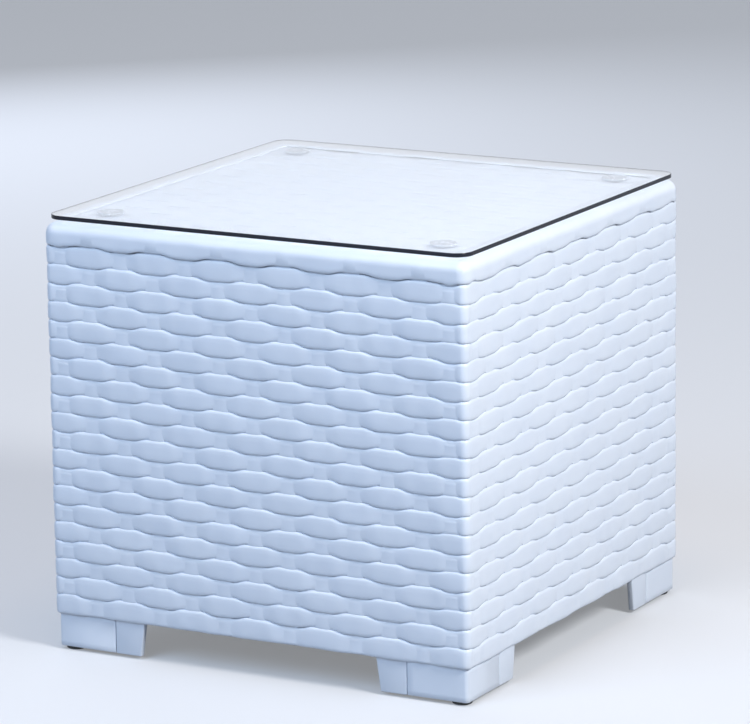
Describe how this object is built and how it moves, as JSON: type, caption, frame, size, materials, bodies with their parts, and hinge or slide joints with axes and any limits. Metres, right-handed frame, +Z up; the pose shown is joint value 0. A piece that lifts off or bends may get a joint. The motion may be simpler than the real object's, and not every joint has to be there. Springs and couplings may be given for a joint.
{
  "type": "propane tank cover table",
  "caption": "Square side table of woven white resin strap with a clear glass top, short feet and an open underside, set down over an upright gas tank to hide it.",
  "frame": {"origin": "on the ground, under the middle of the table", "axes": "+Z up, -Y towards the front, +X towards the right side"},
  "size_m": [0.564, 0.564, 0.53],
  "materials": {
    "woven_resin": "flat white polyethylene strap, satin, woven",
    "coated_aluminium": "white powder coat on square tube and plate",
    "black_nylon": "moulded",
    "zinc_steel": "bright zinc plate",
    "clear_vinyl": "soft clear moulding",
    "tempered_glass": "clear, polished edges"
  },
  "bodies": {
    "cover": {"woven_wall_back": "woven_resin", "woven_wall_left": "woven_resin", "woven_wall_front": "woven_resin", "woven_wall_right": "woven_resin", "woven_deck": "woven_resin", "foot_wrap_back_right": "woven_resin", "foot_wrap_back_left": "woven_resin", "foot_wrap_front_left": "woven_resin", "foot_wrap_front_right": "woven_resin", "corner_post_back_right": "coated_aluminium", "corner_post_back_left": "coated_aluminium", "corner_post_front_left": "coated_aluminium", "corner_post_front_right": "coated_aluminium", "top_rail_back": "coated_aluminium", "top_rail_left": "coated_aluminium", "top_rail_front": "coated_aluminium", "top_rail_right": "coated_aluminium", "bottom_rail_back": "coated_aluminium", "bottom_rail_left": "coated_aluminium", "bottom_rail_front": "coated_aluminium", "bottom_rail_right": "coated_aluminium", "side_strut_back": "coated_aluminium", "side_strut_left": "coated_aluminium", "side_strut_front": "coated_aluminium", "side_strut_right": "coated_aluminium", "deck_bar_front": "coated_aluminium", "deck_bar_back": "coated_aluminium", "gusset_back_right": "coated_aluminium", "gusset_back_left": "coated_aluminium", "gusset_front_left": "coated_aluminium", "gusset_front_right": "coated_aluminium", "foot_plate_back_right": "coated_aluminium", "foot_plate_back_left": "coated_aluminium", "foot_plate_left_back": "coated_aluminium", "foot_plate_left_front": "coated_aluminium", "foot_plate_front_left": "coated_aluminium", "foot_plate_front_right": "coated_aluminium", "foot_plate_right_front": "coated_aluminium", "foot_plate_right_back": "coated_aluminium", "post_plug_back_right": "black_nylon", "post_plug_back_left": "black_nylon", "post_plug_front_left": "black_nylon", "post_plug_front_right": "black_nylon", "glass_bumper_back_right": "clear_vinyl", "glass_bumper_back_left": "clear_vinyl", "glass_bumper_front_left": "clear_vinyl", "glass_bumper_front_right": "clear_vinyl"},
    "glass": {"glass_top": "tempered_glass"},
    "leveller_back_right": {"leveller_pad_back_right": "black_nylon", "leveller_stud_back_right": "zinc_steel"},
    "leveller_back_left": {"leveller_pad_back_left": "black_nylon", "leveller_stud_back_left": "zinc_steel"},
    "leveller_front_left": {"leveller_pad_front_left": "black_nylon", "leveller_stud_front_left": "zinc_steel"},
    "leveller_front_right": {"leveller_pad_front_right": "black_nylon", "leveller_stud_front_right": "zinc_steel"}
  },
  "joints": [
    {"name": "glass_lift", "type": "slide", "parent": "cover", "child": "glass", "axis": [0, 0, 1], "range_m": [0, 0.12]},
    {"name": "screw_back_right", "type": "slide", "parent": "cover", "child": "leveller_back_right", "axis": [0, 0, -1], "range_m": [0, 0.01]},
    {"name": "screw_back_left", "type": "slide", "parent": "cover", "child": "leveller_back_left", "axis": [0, 0, -1], "range_m": [0, 0.01]},
    {"name": "screw_front_left", "type": "slide", "parent": "cover", "child": "leveller_front_left", "axis": [0, 0, -1], "range_m": [0, 0.01]},
    {"name": "screw_front_right", "type": "slide", "parent": "cover", "child": "leveller_front_right", "axis": [0, 0, -1], "range_m": [0, 0.01]}
  ]
}
